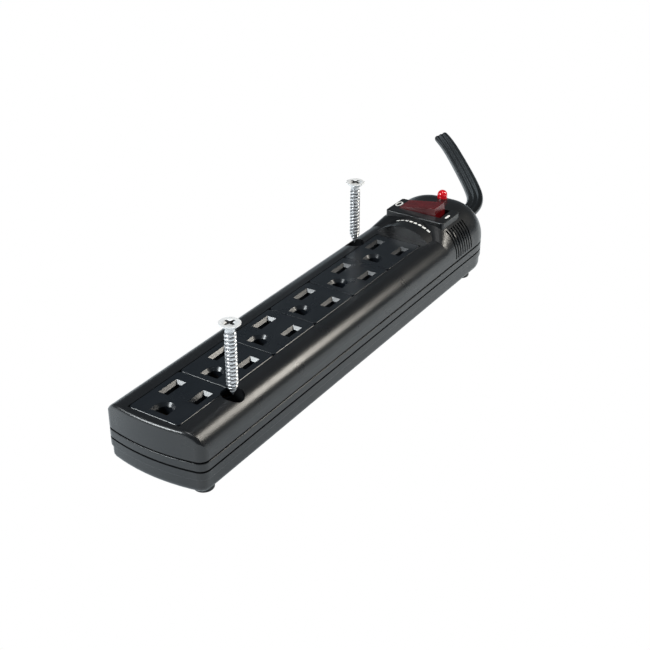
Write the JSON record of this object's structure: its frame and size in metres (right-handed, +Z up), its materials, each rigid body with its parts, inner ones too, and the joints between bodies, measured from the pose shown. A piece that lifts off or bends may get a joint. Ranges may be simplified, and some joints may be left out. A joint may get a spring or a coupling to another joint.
{
  "type": "surge protector power strip",
  "caption": "Long black power strip with a row of grounded outlets, a lit rocker switch, a round indicator, raised mounting screws and a flat cord that ends in a grounded plug.",
  "frame": {"origin": "under the middle of the case, on the plane that its feet stand on", "axes": "+Y along the case towards the cord, +Z up, +X across it towards the front mounting screw"},
  "size_m": [0.1416, 0.5082, 0.0565],
  "materials": {
    "case_plastic": "satin black moulding",
    "outlet_plastic": "smooth black moulding",
    "screw_steel": "bright zinc plate",
    "contact_brass": "plain rolled strip",
    "switch_plastic": "dark nylon",
    "rocker_plastic": "translucent dark red",
    "spring_steel": "bright wire",
    "lamp_glass": "clear",
    "led_plastic": "translucent bright red",
    "board": "printed board",
    "varistor_coat": "dipped epoxy",
    "fuse_body": "ceramic and varnish",
    "line_insulation": "vinyl",
    "neutral_insulation": "vinyl",
    "ground_insulation": "vinyl",
    "cord_vinyl": "satin vinyl",
    "tie_plastic": "vinyl strap",
    "foot_rubber": "matt rubber"
  },
  "bodies": {
    "base": {"top_cover": "case_plastic", "bottom_case": "case_plastic", "outlet_face_1": "outlet_plastic", "outlet_face_2": "outlet_plastic", "outlet_face_3": "outlet_plastic", "outlet_face_4": "outlet_plastic", "outlet_face_5": "outlet_plastic", "outlet_face_6": "outlet_plastic", "case_screws": "screw_steel", "clamp_screws": "screw_steel", "line_bus_bar": "contact_brass", "neutral_bus_bar": "contact_brass", "ground_bus_bar": "contact_brass", "switch_terminals": "contact_brass", "plug_blades": "contact_brass", "plug_ground_pin": "contact_brass", "switch_housing": "switch_plastic", "cord_clamp": "switch_plastic", "indicator_led": "led_plastic", "surge_board": "board", "varistor_1": "varistor_coat", "varistor_2": "varistor_coat", "varistor_3": "varistor_coat", "thermal_fuse": "fuse_body", "resistor": "fuse_body", "wire_line_in": "line_insulation", "wire_line_switched": "line_insulation", "wire_neutral": "neutral_insulation", "wire_ground": "ground_insulation", "strain_relief": "cord_vinyl", "cord_lead": "cord_vinyl", "cord_coil": "cord_vinyl", "cord_tail": "cord_vinyl", "plug_body": "cord_vinyl", "cord_tie": "tie_plastic", "foot_front_left": "foot_rubber", "foot_front_right": "foot_rubber", "foot_rear_left": "foot_rubber", "foot_rear_right": "foot_rubber"},
    "rocker": {"switch_rocker": "rocker_plastic", "switch_plunger": "switch_plastic", "switch_spring": "spring_steel", "neon_lamp": "lamp_glass"},
    "lever": {"switch_lever": "contact_brass"},
    "screw_front": {"mounting_screw_front": "screw_steel"},
    "screw_rear": {"mounting_screw_rear": "screw_steel"}
  },
  "joints": [
    {"name": "rocker_tilt", "type": "hinge", "parent": "base", "child": "rocker", "pos_m": [0, 0.0836, 0.0267], "axis": [0, 1, 0], "range_deg": [0, 19]},
    {"name": "lever_tilt", "type": "hinge", "parent": "base", "child": "lever", "pos_m": [0, 0.0836, 0.0171], "axis": [0, 1, 0], "range_deg": [-11.4, 0]},
    {"name": "screw_front_slide", "type": "slide", "parent": "base", "child": "screw_front", "axis": [0, 0, -1], "range_m": [0, 0.0453]},
    {"name": "screw_rear_slide", "type": "slide", "parent": "base", "child": "screw_rear", "axis": [0, 0, -1], "range_m": [0, 0.0453]}
  ],
  "couplings": [
    {"joint": "lever_tilt", "follows": "rocker_tilt", "ratio": -0.6}
  ]
}
